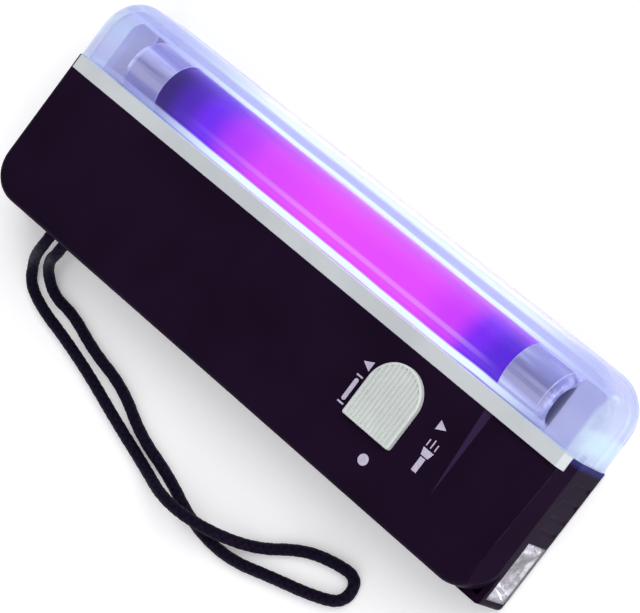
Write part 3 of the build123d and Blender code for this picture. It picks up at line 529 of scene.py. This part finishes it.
def build_materials():
    """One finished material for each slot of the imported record."""
    return {
        "housing": housing_plastic(),
        "clear_cover": hood_plastic(),
        "tray": moulded("tray_plastic", (0.545, 0.575, 0.59), 0.45, 0.4, (0.72, 0.74, 0.76), 0.3, 0.05),
        "lamp_glass": lamp_glow(),
        "cap_metal": lamp_cap_metal(),
        "lamp_base": moulded("base_insulator", (0.020, 0.010, 0.085), 0.35, 0.5),
        "pin_metal": metal("pin_nickel", (0.62, 0.60, 0.58), 0.22),
        "holder": moulded("holder_plastic", (0.62, 0.60, 0.80), 0.42, 0.4, (0.72, 0.70, 0.88), 0.3, 0.04),
        "brass": metal("contact_brass", (0.66, 0.47, 0.20), 0.30, (1.0, 8.0, 8.0), 0.3),
        "spring_steel": metal("spring_steel", (0.60, 0.60, 0.61), 0.28, (8.0, 1.0, 1.0), 0.4),
        "knob": moulded("knob_plastic", (0.60, 0.64, 0.61), 0.46, 0.5, (0.74, 0.78, 0.75), 0.2, 0.05),
        "switch_metal": metal("switch_can", (0.56, 0.56, 0.57), 0.34, (6.0, 1.0, 1.0), 0.5),
        "black_plastic": moulded("black_moulding", (0.014, 0.014, 0.015), 0.42, 0.5),
        "board": laminate(),
        "ferrite": moulded("ferrite_core", (0.045, 0.045, 0.05), 0.55, 1.6),
        "copper_winding": wound_wire("winding_copper", (0.66, 0.24, 0.08), 1),
        "bobbin": moulded("bobbin_plastic", (0.70, 0.68, 0.60), 0.45, 0.5),
        "capacitor_red": moulded("capacitor_dip", (0.40, 0.06, 0.025), 0.22, 0.3),
        "capacitor_sleeve": moulded("capacitor_sleeve", (0.02, 0.05, 0.14), 0.28, 0.3),
        "resistor": moulded("resistor_coat", (0.60, 0.45, 0.26), 0.38, 0.6),
        "battery": battery_jacket(),
        "reflector": foil(),
        "led": clear_part("led_epoxy", (0.95, 0.97, 1.0)),
        "torch_window": clear_part("torch_pane", (0.96, 0.96, 1.0), 0.02),
        "screw": metal("screw_steel", (0.34, 0.34, 0.36), 0.32, (1.0, 1.0, 6.0), 0.4),
        "wire_white": moulded("lead_white", (0.72, 0.72, 0.72), 0.40, 0.4),
        "wire_red": moulded("lead_red", (0.42, 0.02, 0.02), 0.40, 0.4),
        "cord": braid_material(),
    }


def dress_frame(finishes):
    """Gives every CAD node its finished material, by the slot that the record names."""
    slots = {part["node"]: part["material_slot"] for part in frame["record"]["subparts"]}
    for name, piece in frame["nodes"].items():
        if not piece.material_slots:
            piece.data.materials.append(None)
        for slot in piece.material_slots:
            slot.material = finishes[slots[name]]


# ---------------------------------------------------------------- pieces

def mesh_piece(name, mesh, body, mat, smooth=False):
    """Shows a mesh as one piece that rides on a body."""
    piece = bpy.data.objects.new(name, mesh)
    bpy.context.collection.objects.link(piece)
    mesh.materials.clear()
    mesh.materials.append(mat)
    if smooth:
        for face in mesh.polygons:
            face.use_smooth = True
    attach(piece, body)
    return piece


CORD_D = 2.8 * MM
CORD_FLOOR = 1.4
CORD_HUMP = 6.0
CORD_EXIT_X = (-58.2, -53.7)
CORD_EXIT_Z = 16.2
CORD_START = -25.0
CORD_STEP = 0.24
CORD_SIDES = 40
WEAVE_DEPTH = 0.14 * MM
WEAVE_CARRIERS = 8
WEAVE_PITCH = 7.2 * MM

# The wrist cord's route in millimetres: out of the left hole, down, along the floor, over itself and back.
CORD_ROUTE = [
    (CORD_EXIT_X[0], CORD_START, CORD_EXIT_Z),
    (CORD_EXIT_X[0], -30.4, CORD_EXIT_Z),
    (-62.4, -34.4, 10.2),
    (-66.0, -37.6, 3.8),
    (-64.6, -42.6, CORD_FLOOR),
    (-57.4, -45.2, CORD_FLOOR),
    (-47.5, -46.8, CORD_FLOOR),
    (-36.0, -49.4, CORD_FLOOR),
    (-23.6, -53.0, CORD_FLOOR),
    (-10.2, -56.4, CORD_FLOOR),
    (1.8, -58.2, CORD_HUMP),
    (14.0, -56.9, CORD_HUMP),
    (25.0, -53.4, CORD_FLOOR),
    (34.5, -46.2, CORD_FLOOR),
    (42.4, -43.5, CORD_FLOOR),
    (49.6, -42.6, CORD_FLOOR),
    (50.4, -49.0, CORD_FLOOR),
    (43.0, -52.4, CORD_FLOOR),
    (33.0, -55.3, CORD_FLOOR),
    (21.0, -59.2, CORD_FLOOR),
    (8.5, -58.6, CORD_FLOOR),
    (-3.5, -54.2, CORD_FLOOR),
    (-15.5, -51.8, CORD_FLOOR),
    (-27.0, -46.2, CORD_FLOOR),
    (-39.5, -44.4, CORD_FLOOR),
    (-49.6, -41.2, CORD_FLOOR),
    (-57.0, -41.0, CORD_FLOOR),
    (-61.5, -37.4, 3.2),
    (-58.8, -33.4, 9.6),
    (CORD_EXIT_X[1], -30.8, CORD_EXIT_Z),
    (CORD_EXIT_X[1], CORD_START, CORD_EXIT_Z),
]


def spline_points(route, resolution):
    """Points along one smooth NURBS line whose control points are the route."""
    curve = bpy.data.curves.new("cord_line", "CURVE")
    curve.dimensions = "3D"
    spline = curve.splines.new("NURBS")
    spline.points.add(len(route) - 1)
    for point, (x, y, z) in zip(spline.points, route):
        point.co = (x * MM, y * MM, z * MM, 1.0)
    spline.order_u = 3
    spline.use_endpoint_u = True
    spline.resolution_u = resolution
    holder = bpy.data.objects.new("cord_line", curve)
    bpy.context.collection.objects.link(holder)
    bpy.context.view_layer.update()
    line = bpy.data.meshes.new_from_object(holder)
    points = [vertex.co.copy() for vertex in line.vertices]
    bpy.data.objects.remove(holder)
    bpy.data.curves.remove(curve)
    bpy.data.meshes.remove(line)
    return points


def even_points(points, step):
    """The same line at even steps."""
    lengths = [0.0]
    for a, b in zip(points, points[1:]):
        lengths.append(lengths[-1] + (b - a).length)
    count = round(lengths[-1] / step)
    made = []
    index = 0
    for i in range(count + 1):
        at = lengths[-1] * i / count
        while index < len(points) - 2 and lengths[index + 1] < at:
            index += 1
        part = (at - lengths[index]) / (lengths[index + 1] - lengths[index])
        made.append(points[index].lerp(points[index + 1], part))
    return made, lengths[-1]


def weave_height(turn, along, carriers, pitch):
    """Height from 0 to 1 of a round braid: two sets of strands that pass over and under each other."""
    a = turn * carriers + along / pitch * carriers
    b = turn * carriers - along / pitch * carriers
    right = abs(math.sin(math.pi * a / 2))
    left = abs(math.sin(math.pi * b / 2))
    over = math.sin(math.pi * (a + b) / 4) * math.sin(math.pi * (a - b) / 4)
    share = 0.5 + 0.5 * math.tanh(4 * over)
    return max(right * (0.55 + 0.45 * share), left * (1.0 - 0.45 * share))


def wrist_cord(mat):
    """Round braided cord as one mesh tube round the spline, with the weave in its surface."""
    line, length = even_points(spline_points(CORD_ROUTE, 24), CORD_STEP * MM)
    sides = CORD_SIDES
    low_r = CORD_D / 2 - WEAVE_DEPTH
    mesh = bpy.data.meshes.new("wrist_cord")
    verts, heights, uvs = [], [], []
    side_axis = Vector((1, 0, 0))
    for i, centre in enumerate(line):
        ahead = line[min(i + 1, len(line) - 1)] - line[max(i - 1, 0)]
        ahead.normalize()
        side_axis = (side_axis - ahead * side_axis.dot(ahead)).normalized()
        up_axis = ahead.cross(side_axis)
        along = length * i / (len(line) - 1)
        for k in range(sides):
            turn = k / sides
            height = weave_height(turn, along, WEAVE_CARRIERS, WEAVE_PITCH)
            radius = low_r + WEAVE_DEPTH * height
            angle = 2 * math.pi * turn
            verts.append(centre + (side_axis * math.cos(angle) + up_axis * math.sin(angle)) * radius)
            heights.append(height)
    faces = []
    for i in range(len(line) - 1):
        for k in range(sides):
            n = (k + 1) % sides
            faces.append((i * sides + k, i * sides + n, (i + 1) * sides + n, (i + 1) * sides + k))
            uvs.append(((k / sides, i), ((k + 1) / sides, i), ((k + 1) / sides, i + 1), (k / sides, i + 1)))
    faces.append(tuple(reversed(range(sides))))
    uvs.append(tuple((k / sides, 0) for k in reversed(range(sides))))
    first = (len(line) - 1) * sides
    faces.append(tuple(first + k for k in range(sides)))
    uvs.append(tuple((k / sides, len(line)) for k in range(sides)))
    mesh.from_pydata(verts, [], faces)
    layer = mesh.uv_layers.new(name="braid")
    flat = [corner for face in uvs for corner in face]
    for loop, (u, v) in zip(layer.data, flat):
        loop.uv = (u, v * CORD_STEP)
    weave = mesh.attributes.new("weave", "FLOAT", "POINT")
    weave.data.foreach_set("value", heights)
    piece = mesh_piece("wrist_cord", mesh, "root", mat, smooth=True)
    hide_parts("strap_cord")
    return piece


MARK_GAP = 0.002
MARK_TOP = 0.03


def ink():
    """Pad-printed ink: pale lilac, a little uneven."""
    mat, tree, shader = new_material("printed_ink")
    patchy = span(tree, noise(tree, 900.0, 5.0, 0.7), 0.3, 0.75)
    feed(tree, shader.inputs["Base Color"], mix(tree, patchy, (0.56, 0.52, 0.65), (0.42, 0.38, 0.50)))
    feed(tree, shader.inputs["Roughness"], span(tree, patchy, 0.0, 1.0, 0.5, 0.65))
    feed(tree, shader.inputs["Normal"], bump(tree, noise(tree, 2400.0, 3.0), 0.01 * MM))
    return mat


def plate(points, low, high):
    """Thin closed plate with the given outline, in millimetres."""
    verts = [(x * MM, y * MM, low * MM) for x, y in points]
    verts += [(x * MM, y * MM, high * MM) for x, y in points]
    count = len(points)
    faces = [tuple(reversed(range(count))), tuple(range(count, 2 * count))]
    faces += [(i, (i + 1) % count, count + (i + 1) % count, count + i) for i in range(count)]
    return verts, faces


def arc_points(cx, cy, radius, start, end, steps):
    """Points along an arc, from one angle to another in degrees."""
    return [
        (
            cx + radius * math.cos(math.radians(start + (end - start) * i / steps)),
            cy + radius * math.sin(math.radians(start + (end - start) * i / steps)),
        )
        for i in range(steps + 1)
    ]


def capsule(x, y0, y1, radius):
    """Outline of a round-ended bar along Y."""
    return arc_points(x, y1 - radius, radius, 0, 180, 10) + arc_points(x, y0 + radius, radius, 180, 360, 10)


def bar(x0, x1, y0, y1):
    return [(x0, y0), (x1, y0), (x1, y1), (x0, y1)]


def triangle(x, y, size, point_to):
    """Pointer with its tip towards +X or -X."""
    reach = size * 0.5 * point_to
    return [(x - reach, y - size / 2), (x + reach, y), (x - reach, y + size / 2)][::point_to]


def printed_marks(mat):
    """Dot, two pointers and two plain pictures, a tube and a torch, printed on the front face."""
    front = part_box("front_housing")[1].z / MM
    low, high = front + MARK_GAP, front + MARK_TOP
    outlines = [arc_points(42.0, -19.5, 1.3, 0, 348, 29)]
    outlines.append(triangle(29.2, -3.2, 2.4, -1))
    outlines.append(triangle(52.2, -3.4, 2.4, 1))
    # Tube picture: a long capsule between two end ticks.
    outlines.append(capsule(29.4, -12.6, -7.0, 0.55))
    outlines += [bar(28.5, 30.3, -13.5, -13.1), bar(28.5, 30.3, -6.5, -6.1)]
    # Torch picture: a handle, a flared head and three rays.
    outlines.append(bar(52.2, 53.6, -14.4, -10.9))
    outlines.append([(51.9, -10.6), (53.9, -10.6), (54.4, -8.9), (51.4, -8.9)])
    for i in range(3):
        x = 51.7 + 1.2 * i - 0.15
        outlines.append(bar(x, x + 0.3, -8.4, -6.8 + (0.5 if i == 1 else 0.0)))
    verts, faces = [], []
    for outline in outlines:
        v, f = plate(outline, low, high)
        faces += [tuple(len(verts) + i for i in face) for face in f]
        verts += v
    mesh = bpy.data.meshes.new("printed_marks")
    mesh.from_pydata(verts, [], faces)
    clean(mesh)
    return mesh_piece("printed_marks", mesh, "root", mat)


def clean(mesh):
    """Turns every face outwards."""
    work = bmesh.new()
    work.from_mesh(mesh)
    bmesh.ops.recalc_face_normals(work, faces=work.faces)
    work.to_mesh(mesh)
    work.free()


BOWL_HOLE = 2.62 * MM
BOWL_WALL = 0.25 * MM
CRUMPLE_X = 0.55
CRUMPLE_YZ = 0.18


def torch_bowl(mat):
    """Crinkled metallised bowl of the torch: small flat facets from the mouth to the lamp hole."""
    low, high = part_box("torch_reflector")
    middle = (low + high) / 2
    rim_y, rim_z = (high.y - low.y) / 2 - 0.15 * MM, (high.z - low.z) / 2 - 0.15 * MM
    rings, steps = 7, 26
    verts = []
    shake = random.Random(3)
    for j in range(rings + 1):
        part = j / rings
        for k in range(steps):
            angle = 2 * math.pi * k / steps
            c, s = math.cos(angle), math.sin(angle)
            power = 2 / (2 + 5 * (1 - part))
            wide = rim_y * math.copysign(abs(c) ** power, c)
            tall = rim_z * math.copysign(abs(s) ** power, s)
            y = wide * (1 - part) + BOWL_HOLE * c * part
            z = tall * (1 - part) + BOWL_HOLE * s * part
            x = high.x - 0.1 * MM - (high.x - low.x - 1.2 * MM) * math.sin(part * math.pi / 2) ** 1.3
            if 0 < j < rings:
                x += shake.uniform(-CRUMPLE_X, CRUMPLE_X) * MM
                y += shake.uniform(-CRUMPLE_YZ, CRUMPLE_YZ) * MM
                z += shake.uniform(-CRUMPLE_YZ, CRUMPLE_YZ) * MM
            verts.append((x, middle.y + y, middle.z + z))
    faces = []
    for j in range(rings):
        for k in range(steps):
            n = (k + 1) % steps
            quad = (j * steps + k, (j + 1) * steps + k, (j + 1) * steps + n, j * steps + n)
            if (j + k) % 2:
                faces += [(quad[0], quad[1], quad[2]), (quad[0], quad[2], quad[3])]
            else:
                faces += [(quad[0], quad[1], quad[3]), (quad[1], quad[2], quad[3])]
    mesh = bpy.data.meshes.new("torch_bowl")
    mesh.from_pydata(verts, [], faces)
    piece = mesh_piece("torch_bowl", mesh, "root", mat)
    shell = piece.modifiers.new("wall", "SOLIDIFY")
    shell.thickness = BOWL_WALL
    shell.offset = 1.0
    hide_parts("torch_reflector")
    return piece


def violet_light():
    """The lamp's own light on the floor, the tray and the hood."""
    low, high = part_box("lamp_glass")
    middle = (low + high) / 2
    size = (high.x - low.x - 30 * MM, 8 * MM)
    for name, lift in (("glow_down", -8.6), ("glow_up", 8.25)):
        at = middle + Vector((0, 0, lift * MM))
        aim = at + Vector((0, 0, math.copysign(1.0, lift)))
        lamp = panel(name, at, aim, size, 0.05, (0.42, 0.34, 1.0))
        lamp.visible_camera = False
        lamp.visible_glossy = False
        lamp.visible_transmission = False


make_camera()
make_stage()
finishes = build_materials()
dress_frame(finishes)
wrist_cord(finishes["cord"])
printed_marks(ink())
torch_bowl(finishes["reflector"])
violet_light()
